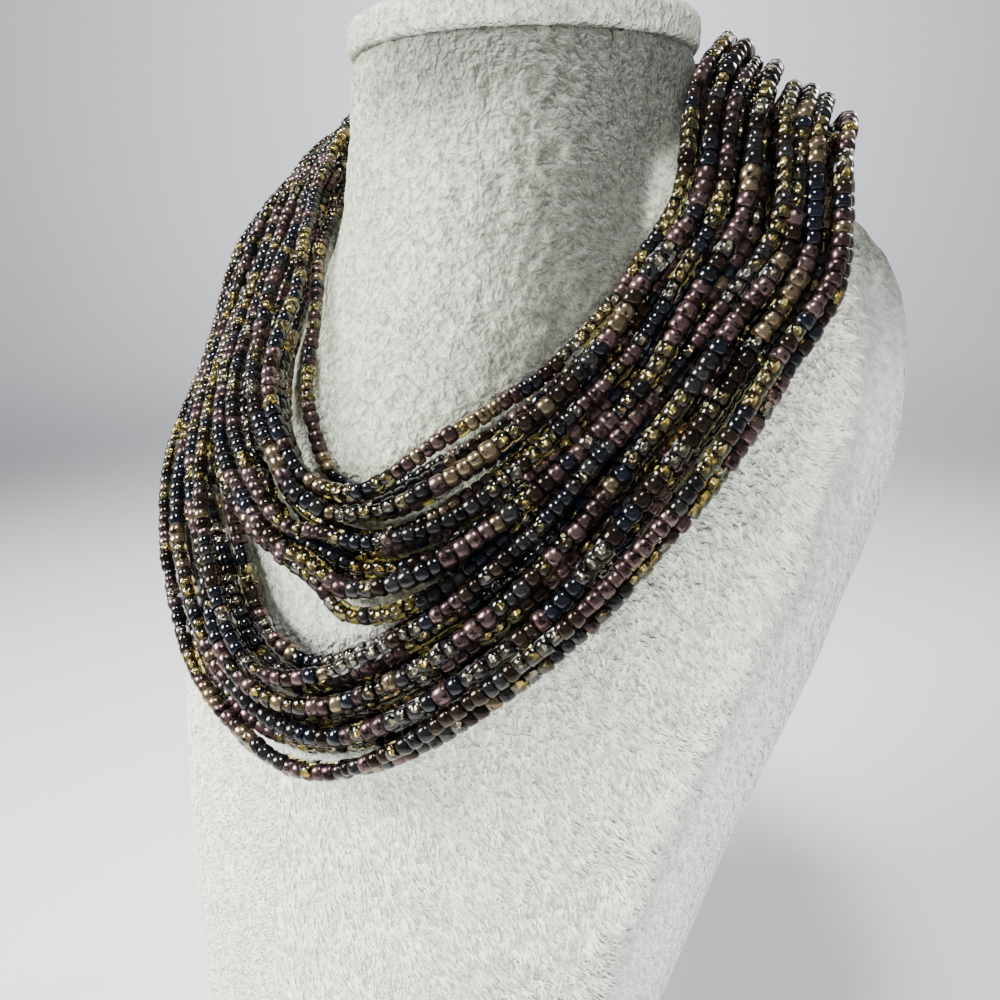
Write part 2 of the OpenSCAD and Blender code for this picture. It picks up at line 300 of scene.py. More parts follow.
def geometry_tree(name, **kinds):
    """An empty tree of geometry nodes with inputs of the given kinds.

    Also its nodes, its inputs' sockets inside the tree, and the inputs' identifiers on a modifier.
    """
    tree = bpy.data.node_groups.new(name, "GeometryNodeTree")
    faces = tree.interface
    faces.new_socket("Geometry", in_out="INPUT", socket_type="NodeSocketGeometry")
    identifiers = [
        faces.new_socket(name.replace("_", " "), in_out="INPUT", socket_type="NodeSocket" + kind).identifier
        for name, kind in kinds.items()
    ]
    faces.new_socket("Geometry", in_out="OUTPUT", socket_type="NodeSocketGeometry")
    return tree, tree.nodes, add_node(tree.nodes, "NodeGroupInput").outputs, identifiers


def named_attribute(nodes, name, kind="FLOAT"):
    return add_node(nodes, "GeometryNodeInputNamedAttribute", data_type=kind, Name=name).outputs["Attribute"]


def with_material(nodes, geometry, material, selection=None):
    return add_node(nodes, "GeometryNodeSetMaterial", geometry, selection, material).outputs["Geometry"]


def realized(nodes, instances):
    return add_node(nodes, "GeometryNodeRealizeInstances", instances).outputs["Geometry"]


def joined_up(nodes, first, second):
    node = add_node(nodes, "GeometryNodeJoinGeometry")
    fill(node, Geometry=first)
    fill(node, Geometry=second)
    return node.outputs["Geometry"]


def made_by(tree, mesh, identifiers, values):
    """The plain mesh that a tree of geometry nodes makes from a mesh."""
    source = add_piece(mesh.name, mesh)
    modifier = source.modifiers.new(tree.name, "NODES")
    modifier.node_group = tree
    for identifier, value in zip(identifiers, values):
        modifier[identifier] = value
    bpy.context.view_layer.update()
    depsgraph = bpy.context.evaluated_depsgraph_get()
    made = bpy.data.meshes.new_from_object(
        source.evaluated_get(depsgraph), preserve_all_data_layers=True, depsgraph=depsgraph)
    bpy.data.objects.remove(source)
    return made


# The bust's form

def eased_column(column, height):
    """A column of SECTIONS at a share of the height, level at every turn so nothing overshoots."""
    x = SECTIONS[:, 0]
    y = SECTIONS[:, column]
    run = np.diff(y) / np.diff(x)
    slope = np.zeros(len(y))
    slope[0] = run[0]
    slope[-1] = run[-1]
    same_way = run[:-1] * run[1:] > 0
    inner = slope[1:-1]
    inner[same_way] = (2 * run[:-1] * run[1:] / np.where(same_way, run[:-1] + run[1:], 1))[same_way]
    i = int(np.clip(np.searchsorted(x, height, side="right") - 1, 0, len(x) - 2))
    width = x[i + 1] - x[i]
    t = (height - x[i]) / width
    return (
        (1 + 2 * t) * (1 - t) ** 2 * y[i]
        + t * (1 - t) ** 2 * width * slope[i]
        + t * t * (3 - 2 * t) * y[i + 1]
        + t * t * (t - 1) * width * slope[i + 1]
    )


def section(height):
    """The bust's section at a share of its height: the columns of SECTIONS in millimetres."""
    spread = (SHOULDER_WIDTH - NECK_WIDTH) / 2
    widths = [NECK_WIDTH / 2 + eased_column(c, height) * spread for c in (1, 5)]
    depths = [eased_column(c, height) * BUST_DEPTH for c in (2, 3, 4, 6, 7)]
    return widths[0], depths[0], depths[1], depths[2], widths[1], depths[3], depths[4]


def joined(a, b):
    return (a ** BLEND_POWER + b ** BLEND_POWER) ** (1 / BLEND_POWER)


def even_quarter(points, count):
    """The quarter's points moved to even steps along it, without its last one."""
    steps = np.linalg.norm(np.diff(points, axis=0), axis=1)
    along = np.concatenate([[0], np.cumsum(steps)])
    wanted = np.linspace(0, along[-1], count + 1)
    return np.stack([np.interp(wanted, along, points[:, 0]), np.interp(wanted, along, points[:, 1])], 1)


def section_ring(height, ahead_count, behind_count):
    """Points round the bust at a share of its height, from +X counterclockwise."""
    body_half, middle, front, back, neck_half, neck_front, neck_back = section(height)
    angle = np.radians(np.linspace(0, 90, 400))
    x = body_half * np.cos(angle)
    across = np.sin(angle)
    neck = np.sqrt(np.clip(1 - (x / neck_half) ** 2, 0, None))
    ahead = np.stack([x, middle - joined(front * across ** FRONT_POWER, neck_front * neck)], 1)
    behind = np.stack([x, middle + joined(back * across, neck_back * neck)], 1)
    ahead = even_quarter(ahead, ahead_count)
    behind = even_quarter(behind, behind_count)
    mirror = np.array([-1, 1])
    return np.concatenate([
        behind[:-1],
        (behind * mirror)[:0:-1],
        (ahead * mirror)[:-1],
        ahead[:0:-1],
    ])


def grid_normals(grid):
    """Outward normals of a grid of rings, each ring closed."""
    round_it = np.roll(grid, -1, axis=1) - np.roll(grid, 1, axis=1)
    upward = np.gradient(grid, axis=0)
    return unit(np.cross(round_it, upward))


def skin_mesh(name, grid):
    """A smooth closed mesh over a grid of rings, each counterclockwise seen from the last one."""
    rings, count = grid.shape[:2]
    faces = []
    for j in range(rings - 1):
        low = j * count
        for k in range(count):
            after = (k + 1) % count
            faces.append((low + k, low + after, low + count + after, low + count + k))
    faces.append(tuple(range(count - 1, -1, -1)))
    faces.append(tuple(range((rings - 1) * count, rings * count)))
    return new_mesh(name, (grid.reshape(-1, 3) * MM).tolist(), faces)


PILE_CLUMP = 3.4
# The clumps' noise: how fast the finer waves fade, how much finer each is, how many there are
CLUMP_WAVES = (0.9, 2.1, 3)
PILE_DEPTH = 0.36
FOLD_SIZE = 19.0
FOLD_DEPTH = 0.4
# Where the chest's front turns into the side walls: height and half width of the turn
TURN_LINE = [(0, 62), (60, 70), (98, 76), (131, 82), (159, 88), (175, 91), (200, 93), (215, 92), (230, 88)]
TURN_BEND = 1.2
TURN_BEND_SIZE = 9
TURN_RAGGED = 1.6
TURN_EDGE = 1.2
TUFT_SIZE = 2.4
# The pile along the turn: its height, how far it reaches to both sides, and its tufts' mean and spread
RIDGE_HEIGHT = 1.3
RIDGE_INNER = 3.6
RIDGE_OUTER = 2.0
RIDGE_MEAN = 0.7
RIDGE_SPREAD = 0.9
# The painted highlight on its crest and the painted shadow behind it: where past the turn, and how wide
CREST_HIGHLIGHT = 0.5
CREST = (-0.8, 2.0)
BEHIND_CREST = (3.0, 1.6)
# From none to all, by the outward way's y or x, or by the height or the place across in millimetres
NOT_BEHIND = (0.65, 0.25)
BELOW_SHOULDERS = (238, 222)
# The masks from here on place the painted shade: the neck's near side, its top under the cap, and low on the
# near wall
NEAR_SIDE = (0.08, 0.78)
NEAR_HEIGHT = (140, 195)
BESIDE_STRANDS = (58, 74)
BESIDE_HEIGHT = (238, 200)
TOP_HEIGHT = (246, 274)
TOP_SIDE = (-0.7, 0.2)
LOW_HEIGHT = (100, 30)
LOW_SIDE = (0.2, 0.8)
# How strong the painted shade is at the neck's top and low on the near wall, and how much less painted shade
# the near side gets beside the strands
TOP_PAINTED_SHADE = 0.9
LOW_PAINTED_SHADE = 0.35
BESIDE_LESS = 0.8


def pile_height(point):
    """How far the brushed pile stands out at a point, in millimetres: little clumps on soft dents."""
    p = Vector(point)
    clump = noise.fractal(p / PILE_CLUMP, *CLUMP_WAVES)
    dent = noise.noise(p / FOLD_SIZE)
    return PILE_DEPTH * clump + FOLD_DEPTH * dent


def ruffled(grid, strength):
    """The grid with its pile, as strong as the strength says at each point."""
    out = grid_normals(grid).reshape(-1, 3)
    flat = grid.reshape(-1, 3)
    height = np.array([pile_height(p) for p in flat]) * np.asarray(strength).ravel()
    return (flat + out * height[:, None]).reshape(grid.shape)


def noise_over(grid, size):
    """Smooth noise between about -0.5 and 0.5 over a grid of points, in lumps of a size in millimetres."""
    return np.array([noise.noise(Vector(p) / size) for p in grid.reshape(-1, 3)]).reshape(grid.shape[:2])


def past_turn(grid):
    """How far a point lies past the turn into a side wall, in millimetres across the bust."""
    heights, halves = np.array(TURN_LINE, float).T
    past = np.abs(grid[..., 0]) - np.interp(grid[..., 2], heights, halves)
    return past + TURN_BEND * noise_over(grid, TURN_BEND_SIZE) + TURN_RAGGED * noise_over(grid, TUFT_SIZE)


def in_front(grid):
    """1 on the chest and the side walls, 0 behind and above them."""
    not_behind = smooth_step(*NOT_BEHIND, grid_normals(grid)[..., 1])
    return not_behind * smooth_step(*BELOW_SHOULDERS, grid[..., 2])


def side_wall(grid):
    """1 on the side walls and 0 on the chest, the neck and the back."""
    return smooth_step(-TURN_EDGE, TURN_EDGE, past_turn(grid)) * in_front(grid)


def painted_shade_mask(grid):
    """Where shade is painted onto the velvet as darker colour: the neck's near side, its top under the cap,
    and low on the near wall.
    """
    sideways = grid_normals(grid)[..., 0]
    height = grid[..., 2]
    near = smooth_step(*NEAR_SIDE, sideways) * smooth_step(*NEAR_HEIGHT, height)
    beside_strands = smooth_step(*BESIDE_STRANDS, grid[..., 0]) * smooth_step(*BESIDE_HEIGHT, height)
    near = near * (1 - BESIDE_LESS * beside_strands)
    top = TOP_PAINTED_SHADE * smooth_step(*TOP_HEIGHT, height) * smooth_step(*TOP_SIDE, sideways)
    low = LOW_PAINTED_SHADE * smooth_step(*LOW_HEIGHT, height) * smooth_step(*LOW_SIDE, sideways) * side_wall(grid)
    return np.maximum(np.maximum(near, top), low)


def turn_ridge(grid):
    """Height of the pile that stands up in tufts along the turn, and its painted light from -1 to 1: a
    painted highlight on the crest and a painted shadow behind it.
    """
    past = past_turn(grid)
    width = np.where(past < 0, RIDGE_INNER, RIDGE_OUTER)
    tuft = RIDGE_MEAN + RIDGE_SPREAD * noise_over(grid, TUFT_SIZE)
    height = RIDGE_HEIGHT * hump(past, 0, width) * tuft
    tone = CREST_HIGHLIGHT * hump(past, *CREST) - hump(past, *BEHIND_CREST)
    return height * in_front(grid), tone * in_front(grid)


TUFT_SEED = 23
TUFTS = 36000
TUFT_LENGTH = 1.75
TUFT_WIDTH = 0.35
TUFT_CORNERS = 4
TUFT_SUNKEN = 0.1
TUFT_TURN = 0.22
# Tufts stand where the outward way's y, the height and the way past the turn allow it
TUFT_FACING = -0.12
TUFT_LOWEST = 3
TUFT_FURTHEST = 1.0
EDGE_BAND = 6.0
EDGE_FULL = 1.0
EDGE_SHARE = 1.6
BARE_BELOW_STRANDS = 4.0
THIN_BELOW_STRANDS = 22.0
THINNEST = 0.12
# The lowest strand's part on the chest: points on it, its y in front, and how far it reaches across
LOWEST_POINTS = 400
LOWEST_FRONT = -10
LOWEST_REACH = 90
# The tufts' lean sideways, upward and outward, away from the turn and how much more of it on the turn
SIDEWAYS = (0.55, 0.45)
UPWARD = (-0.75, 0.35)
OUTWARD = (0.18, 0.20)
OUTWARD_DRAW = (-0.05, 0.10)
LEAN_SWIRL = 0.9
SWIRL_SIZE = 14
LEAN_SPREAD = 0.22
GROWTH = (0.65, 1.25)
# How much shorter the tufts grow where the velvet's painted shade is full
PAINTED_SHADE_SHORTER = 0.4


def tuft_template():
    """A tuft of pile of unit length and unit radius: three sides on a sunken base."""
    verts = [(math.cos(a), math.sin(a), -TUFT_SUNKEN) for a in np.radians((0, 120, 240))] + [(0, 0, 1)]
    return add_piece("tuft", new_mesh("tuft", verts, [(0, 1, 3), (1, 2, 3), (2, 0, 3), (2, 1, 0)]))


def tufts_tree():
    """Geometry nodes that stand a tuft on every point, tilted as the point's lean says."""
    tree, nodes, start, identifiers = geometry_tree(
        "pile_tufts", Tuft="Object", Tuft_Length="Float", Tuft_Width="Float")
    tuft = add_node(nodes, "GeometryNodeObjectInfo", start["Tuft"])
    lean = named_attribute(nodes, "lean", "FLOAT_VECTOR")
    aim = add_node(nodes, "FunctionNodeAlignRotationToVector", axis="Z", Vector=lean)
    width = start["Tuft Width"]
    size = add_node(nodes, "ShaderNodeCombineXYZ", width, width, start["Tuft Length"])
    on_points = add_node(
        nodes, "GeometryNodeInstanceOnPoints",
        Points=start["Geometry"],
        Instance=tuft.outputs["Geometry"],
        Rotation=aim.outputs["Rotation"],
        Scale=scaled(nodes, size.outputs["Vector"], named_attribute(nodes, "growth")),
    )
    add_node(nodes, "NodeGroupOutput", with_material(nodes, realized(nodes, on_points.outputs[0]), PILE))
    return tree, identifiers


def tuft_places(grid):
    """Points on the chest's front where tufts stand.

    Also their outward ways, their nearness to the turn, the painted shade at them and the draws that go on.
    """
    past = past_turn(grid)
    outward = grid_normals(grid)
    lowest = strand_line(STRANDS - 1, LOWEST_POINTS)
    lowest = lowest[(lowest[:, 1] < LOWEST_FRONT) & (np.abs(lowest[:, 0]) < LOWEST_REACH)]
    order = np.argsort(lowest[:, 0])
    limit = np.interp(grid[..., 0], lowest[order, 0], lowest[order, 2]) - BARE_BELOW_STRANDS
    before_turn = past < TUFT_FURTHEST
    edge = smooth_step(-EDGE_BAND, -EDGE_FULL, past) * before_turn
    low_enough = (grid[..., 2] < limit) & (grid[..., 2] > TUFT_LOWEST)
    wanted = (outward[..., 1] < TUFT_FACING) & low_enough & before_turn
    area = np.linalg.norm(np.cross(
        np.roll(grid, -1, axis=1) - grid, np.gradient(grid, axis=0)), axis=-1)
    thick = THINNEST + (1 - THINNEST) * smooth_step(0, THIN_BELOW_STRANDS, limit - grid[..., 2])
    weight = np.where(wanted, area * thick * (1 + EDGE_SHARE * edge), 0)
    weight[-1] = 0
    draw = np.random.default_rng(TUFT_SEED)
    picked = draw.choice(weight.size, TUFTS, p=(weight / weight.sum()).ravel())
    j, k = np.unravel_index(picked, weight.shape)
    after = (k + 1) % grid.shape[1]
    a = draw.random((TUFTS, 1))
    b = draw.random((TUFTS, 1))
    low = grid[j, k] * (1 - a) + grid[j, after] * a
    high = grid[j + 1, k] * (1 - a) + grid[j + 1, after] * a
    return low * (1 - b) + high * b, outward[j, k], edge[j, k], painted_shade_mask(grid)[j, k], draw


def make_pile(grid):
    """The longer pile on the chest's front: tufts that lean outwards and down, and stand up at the turn."""
    points, outward, edge, leaning, draw = tuft_places(grid)
    sideways, upward, rise = [away + more * edge for away, more in (SIDEWAYS, UPWARD, OUTWARD)]
    swirl = np.array([noise.noise_vector(Vector(p) / SWIRL_SIZE) for p in points])
    lean = np.stack([np.sign(points[:, 0]) * sideways, np.zeros(TUFTS), upward], 1) + LEAN_SWIRL * swirl
    lean += draw.normal(0, LEAN_SPREAD, lean.shape)
    flat = unit(lean - outward * (lean * outward).sum(1)[:, None])
    rise = rise + draw.uniform(*OUTWARD_DRAW, TUFTS)
    mesh = new_mesh("pile_points", (points * MM).tolist(), [])
    store(mesh, "lean", unit(flat + outward * rise[:, None]), "FLOAT_VECTOR")
    store(mesh, "growth", draw.uniform(*GROWTH, TUFTS) * (1 - PAINTED_SHADE_SHORTER * leaning))
    store(mesh, "leaning", leaning)
    tuft = tuft_template()
    tree, identifiers = tufts_tree()
    made = made_by(tree, mesh, identifiers, (tuft, TUFT_LENGTH * MM, TUFT_WIDTH * MM))
    bpy.data.objects.remove(tuft)
    shading = unit(outward + draw.normal(0, TUFT_TURN, outward.shape))
    made.normals_split_custom_set_from_vertices(np.repeat(shading, TUFT_CORNERS, axis=0).tolist())
    piece = add_piece("neck_bust_pile", made)
    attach(piece, "root")


BUST_RINGS = 210
AHEAD_QUARTER = 98
BEHIND_QUARTER = 46
FOOT_ANGLES = (0, 22.5, 45, 67.5)
# How much less pile there is on the side walls, and how high above the foot it has its full height
WALL_LESS_PILE = 0.7
FOOT_BARE = 6
# How much smoother than the neck the chest and shoulders, the back and the cap are
BODY_SMOOTHNESS = 0.5
BACK_SMOOTHNESS = 1.6
CAP_SMOOTHNESS = 0.3
# From none to all, by the outward way's y, or by the height or the place across in millimetres
CHEST_FACING = (-0.1, -0.4)
CHEST_HEIGHT = (185, 150)
BACK_FACING = (-0.1, 0.3)
SHOULDERS = (56, 70)
SHOULDER_HEIGHT = (236, 220)


def velvet_mesh(name, grid, smoothness, leaning, ridge_tone):
    """A closed mesh over the grid in velvet, with what its material reads at every point."""
    mesh = skin_mesh(name, grid)
    store(mesh, "side_wall", smoothness)
    store(mesh, "leaning", leaning)
    store(mesh, "ridge_tone", ridge_tone)
    mesh.materials.append(VELVET)
    return mesh


def make_bust():
    heights = np.linspace(0, BODY_HEIGHT, BUST_RINGS)
    lower = FOOT_EDGE * (1 - np.cos(np.radians(FOOT_ANGLES)))
    heights = np.concatenate([lower, heights[heights > FOOT_EDGE]])
    grid = np.array([
        np.column_stack([ring, np.full(len(ring), h)])
        for h in heights
        for ring in [section_ring(h / BODY_HEIGHT, AHEAD_QUARTER, BEHIND_QUARTER)]
    ])
    wall = side_wall(grid)
    ridge, ridge_tone = turn_ridge(grid)
    keep_low = smooth_step(0, FOOT_BARE, grid[..., 2])
    ridge_out = grid_normals(grid) * (ridge * keep_low)[..., None]
    grid = ruffled(grid, (1 - WALL_LESS_PILE * wall) * keep_low) + ridge_out
    outward = grid_normals(grid) * [1, 1, 0]
    inset = FOOT_EDGE - np.sqrt(np.clip(FOOT_EDGE ** 2 - (FOOT_EDGE - heights) ** 2, 0, None))
    inset[heights > FOOT_EDGE] = 0
    grid = grid - outward * inset[:, None, None]
    facing = grid_normals(grid)[..., 1]
    chest = smooth_step(*CHEST_FACING, facing) * smooth_step(*CHEST_HEIGHT, grid[..., 2])
    chest = np.maximum(chest, BACK_SMOOTHNESS * smooth_step(*BACK_FACING, facing))
    shoulder = smooth_step(*SHOULDERS, np.abs(grid[..., 0])) * smooth_step(*SHOULDER_HEIGHT, grid[..., 2])
    smoothness = np.maximum(wall, BODY_SMOOTHNESS * np.maximum(chest, shoulder))
    mesh = velvet_mesh("neck_bust_velvet", grid, smoothness, painted_shade_mask(grid), ridge_tone)
    piece = add_piece("neck_bust_velvet", mesh)
    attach(piece, "root")
    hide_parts("neck_bust")
    make_pile(grid)


CAP_SIDES = 220
CAP_DOME = 0.9
CAP_PILE = 0.8
CAP_SECTION = 0.99
CAP_INNER_RINGS = 30


def make_cap():
    """The padded cap: a soft rim with a rounded edge above and below, and a slightly domed top."""
    *_, neck_half, neck_front, neck_back = section(CAP_SECTION)
    half_width = neck_half + CAP_OVERHANG
    turn = np.radians(np.arange(CAP_SIDES) * 360 / CAP_SIDES)
    depth = np.where(np.sin(turn) < 0, neck_front, neck_back) + CAP_OVERHANG
    profile = [(LOWER_EDGE * (1 - math.sin(a)), LOWER_EDGE * (1 - math.cos(a)))
               for a in np.radians(np.arange(0, 91, 15))]
    profile += [(CAP_EDGE * (1 - math.cos(a)), CAP_HEIGHT - CAP_EDGE + CAP_EDGE * math.sin(a))
                for a in np.radians(np.arange(0, 86, 7.5))]
    inner = np.linspace(CAP_EDGE + 1, half_width - 1, CAP_INNER_RINGS)
    profile += [(inset, CAP_HEIGHT + CAP_DOME * smooth_step(CAP_EDGE, half_width, inset)) for inset in inner]
    grid = np.array([
        np.column_stack([
            (half_width - inset) * np.cos(turn),
            depth * (1 - inset / half_width) * np.sin(turn),
            np.full(CAP_SIDES, BUST_HEIGHT - CAP_HEIGHT + height),
        ])
        for inset, height in profile
    ])
    everywhere = np.ones(grid.shape[:2])
    grid = ruffled(grid, CAP_PILE * everywhere)
    mesh = velvet_mesh("neck_cap_velvet", grid, CAP_SMOOTHNESS * everywhere, 0 * everywhere, 0 * everywhere)
    piece = add_piece("neck_cap_velvet", mesh)
    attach(piece, "root")
    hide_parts("neck_cap")


# The strands' routes

def mirrored(row):
    return [-value if k in (0, 3, 6) else value for k, value in enumerate(row)]


SHEET_HALF = ACROSS_LANES / 2 * LANE_STEP


def clasp_row(side):
    x = side * (CLASP_WIDTH / 2 + FIT)
    heights = (CLASP_MIDDLE + SHEET_HALF, CLASP_MIDDLE, CLASP_MIDDLE - SHEET_HALF)
    return [value for z in heights for value in (x, FIRST_LAYER_Y, z)] + [0]


SHEET = np.array(
    [clasp_row(-1)]
    + [mirrored(row) for row in reversed(BACK_ROUTE)]
    + ROUTE
    + BACK_ROUTE
    + [clasp_row(1)],
    float,
)
SHEET_END = len(SHEET) - 1
ROW_SLOPES = np.gradient(SHEET, axis=0)


def sheet_rows(u):
    """A smooth run through the rows of the sheet, u from 0 to SHEET_END."""
    i = np.clip(u.astype(int), 0, SHEET_END - 1)
    t = (u - i)[:, None]
    return (
        (2 * t ** 3 - 3 * t ** 2 + 1) * SHEET[i]
        + (t ** 3 - 2 * t ** 2 + t) * ROW_SLOPES[i]
        + (3 * t ** 2 - 2 * t ** 3) * SHEET[i + 1]
        + (t ** 3 - t ** 2) * ROW_SLOPES[i + 1]
    )


def across_rows(rows, f):
    """Points of the rows at the shares f of their width, on the parabolas through their three points."""
    f = f[:, None]
    return (
        rows[:, 0:3] * (2 * f * f - 3 * f + 1)
        + rows[:, 3:6] * (4 * f - 4 * f * f)
        + rows[:, 6:9] * (2 * f * f - f)
    )


def across_slopes(rows, f):
    """Slopes of those parabolas, in millimetres for the whole width."""
    f = f[:, None]
    return rows[:, 0:3] * (4 * f - 3) + rows[:, 3:6] * (4 - 8 * f) + rows[:, 6:9] * (4 * f - 1)


def share_at(group, place, bare):
    """Share of the sheet's width at a place, which is in lanes from the group's inner edge."""
    if group == 0:
        return place / ACROSS_LANES * (1 - bare)
    return 1 - (LANES - 1 - place) / ACROSS_LANES * (1 - bare)


def ways_along(u, f):
    ahead = across_rows(sheet_rows(np.clip(u + SHORT_STEP, 0, SHEET_END)), f)
    behind = across_rows(sheet_rows(np.clip(u - SHORT_STEP, 0, SHEET_END)), f)
    return unit(ahead - behind)


def wave(turns):
    return np.sin(2 * math.pi * turns)


def strand_wave(waves, i, s):
    fewest, more, again, shift = waves
    return wave((fewest + more * (i % again)) * s + shift * i)


def strand_line(i, count):
    """Points along strand i from the far end at the clasp to the near one.

    Strand i is lane i % 4 of layer i // 4 % 3 in group i // 12. Each layer stands a little to one side
    of the one below and lies in its dips. A strand wanders as far as the room between lanes lets it.
    """
    group = i // (LANES * LAYERS)
    layer = i // LANES % LAYERS
    lane = i % LANES
    u = np.linspace(0, SHEET_END, count)
    s = u / SHEET_END
    rows = sheet_rows(u)
    bare = rows[:, 9]
    first = lane + (STAGGER if layer == 1 else -STAGGER)
    f = share_at(group, first, bare)
    across = np.cross(across_slopes(rows, f), ways_along(u, f))
    space = np.linalg.norm(across, axis=1) * (1 - bare) / ACROSS_LANES
    room = np.clip(1 - LAYER_STEP / space, 0, None) / 2
    wander = SLOW_SHARE * strand_wave(SLOW_WAVES, i, s) + QUICK_SHARE * strand_wave(QUICK_WAVES, i, s)
    wander = wander * (TOP_WANDER if layer == LAYERS - 1 else LOW_WANDER)
    if layer == LAYERS - 1:
        wander = wander + TOP_SWAY * LANE_SWAYS[lane] * wave(SWAY_WAVES * s + SWAY_TURN + GROUP_TURN * group)
    freedom = np.clip((np.minimum(s, 1 - s) - STILL_UNTIL) / (FREE_AFTER - STILL_UNTIL), 0, 1)
    f = share_at(group, first + freedom * room * wander, bare)
    for strand, place, length, share in STRAYS:
        if strand == i:
            near = np.abs(u - place) < length
            f = f + np.where(near, share * (1 + np.cos(math.pi * (u - place) / length)) / 2, 0)
    side = rows[:, 3:6] - rows[:, 0:3] if group == 0 else rows[:, 6:9] - rows[:, 3:6]
    outward = unit(np.cross(side, ways_along(u, f)))
    dip = np.clip(space / 2 - 2 * LOW_WANDER * room * space, 0, None)
    if layer == 0:
        height = np.zeros(count)
    else:
        height = np.sqrt(np.clip(LAYER_STEP ** 2 - dip ** 2, 0, None)) + (layer - 1) * LAYER_STEP
    return across_rows(rows, f) + outward * height[:, None]


# The beads

# Outlines of a bead round its hole: share of its half length along the thread, share of its radius
ROUND_SIDES = 10
ROUND_OUTLINE = [
    (-0.80, 0.30),
    (-1.00, 0.50),
    (-0.92, 0.80),
    (-0.55, 0.98),
    (0.55, 0.98),
    (0.92, 0.80),
    (1.00, 0.50),
    (0.80, 0.30),
]
# A clear bead is cut straighter, and its hole is square
CLEAR_SIDES = 12
CLEAR_OUTLINE = [
    (-0.97, 0.40),
    (-1.00, 0.74),
    (-0.80, 0.97),
    (0.80, 0.97),
    (1.00, 0.74),
    (0.97, 0.40),
]
THREAD_RADIUS = 0.3

# name, how common it is, colour, second colour, metallic, roughness, transmission, share of dark patches
BEAD_FINISHES = [
    ("mauve_copper", 0.23, (0.070, 0.041, 0.041), (0.185, 0.118, 0.112), 0.9, 0.27, 0.0, 0.40),
    ("midnight", 0.16, (0.001, 0.0013, 0.0018), (0.0015, 0.0022, 0.0050), 0.0, 0.04, 0.0, 0.0),
    ("gunmetal", 0.13, (0.022, 0.021, 0.021), (0.075, 0.072, 0.070), 0.9, 0.14, 0.0, 0.30),
    ("amber", 0.12, (0.620, 0.500, 0.130), (0.600, 0.540, 0.260), 0.0, 0.02, 1.0, 0.0),
    ("smoky_crystal", 0.11, (0.560, 0.555, 0.540), (0.330, 0.330, 0.340), 0.0, 0.02, 1.0, 0.0),
    ("olive_glass", 0.10, (0.240, 0.215, 0.095), (0.180, 0.155, 0.085), 0.0, 0.03, 1.0, 0.0),
    ("tan_gold", 0.05, (0.160, 0.118, 0.068), (0.300, 0.230, 0.140), 0.9, 0.24, 0.0, 0.30),
    ("dark_bronze", 0.13, (0.020, 0.014, 0.010), (0.056, 0.040, 0.029), 0.9, 0.13, 0.0, 0.25),
]
CLEAR_FINISHES = ("amber", "smoky_crystal", "olive_glass")
DARK_PATCH = (0.010, 0.008, 0.008)


GLASS_BEND = 1.52
BEAD_GRAIN = 900.0
DARK_GRAIN = 620.0
CLEAR_UNEVENNESS = 0.04
OTHER_UNEVENNESS = 0.25
# The dark patches' limit in the noise with a share of none, how far a full share lowers it, and their edge
DARK_LIMIT = 0.63
DARK_REACH = 0.3
DARK_EDGE = 0.07
DARK_MOST = 0.92


def bead_finish_material(finish):
    name, _, colour, second, metallic, roughness, transmission, dark_share = finish
    material, nodes, shader, place = new_material(name)
    spots = grain(nodes, place, BEAD_GRAIN, 3.0, 0.6)
    lowered = calculated(nodes, "SUBTRACT", attribute_of(nodes, "shade"), 0.25)
    share = calculated(nodes, "MULTIPLY_ADD", spots, 0.5, lowered)
    finished = mixed(nodes, "RGBA", share, (*colour, 1), (*second, 1))
    if dark_share:
        low = DARK_LIMIT - DARK_REACH * dark_share
        dark = ranged(nodes, grain(nodes, place, DARK_GRAIN, 3.0, 0.7), low, low + DARK_EDGE, 0.0, DARK_MOST)
        finished = mixed(nodes, "RGBA", dark, finished, (*DARK_PATCH, 1))
    unevenness = CLEAR_UNEVENNESS if transmission else OTHER_UNEVENNESS
    fill(shader, Base_Color=finished, Metallic=metallic, Roughness=roughness, IOR=GLASS_BEND)
    fill(shader, Transmission_Weight=transmission, Normal=bumped(nodes, spots, unevenness, 0.00008))
    return material


def lining_material():
    """The mirror-like lining in the hole of a clear bead."""
    material, _, shader, _ = new_material("silver_lining")
    fill(shader, Base_Color=(0.55, 0.48, 0.33, 1), Metallic=1.0, Roughness=0.12)
    return material


def thread_material():
    material, nodes, shader, place = new_material("brown_thread")
    twist = colour_ramp(nodes, grain(nodes, place, 2500.0), (0.02, 0.014, 0.01), (0.07, 0.05, 0.035))
    fill(shader, Base_Color=twist, Roughness=0.8)
    return material


def square_hole(angle, radius):
    """Distance from the middle of a square hole to its wall at an angle. Its corners are a radius out."""
    return radius / (abs(math.cos(angle)) + abs(math.sin(angle)))


def bead_template(name, outline, sides, square=False):
    """One bead of unit half length and unit radius, its hole along X."""
    count = len(outline)
    verts = []
    for j, (x, r) in enumerate(outline):
        for k in range(sides):
            a = 2 * math.pi * k / sides
            reach = square_hole(a, r) if square and j in (0, count - 1) else r
            verts.append((x, reach * math.cos(a), reach * math.sin(a)))
    faces = []
    for j in range(count):
        here = j * sides
        there = (j + 1) % count * sides
        for k in range(sides):
            after = (k + 1) % sides
            faces.append((here + after, there + after, there + k, here + k))
    mesh = new_mesh(name, verts, faces)
    store(mesh, "in_hole", [j == count - 1 for j in range(count) for _ in range(sides)], "BOOLEAN", "FACE")
    return add_piece(name, mesh)


THREAD_SIDES = 4


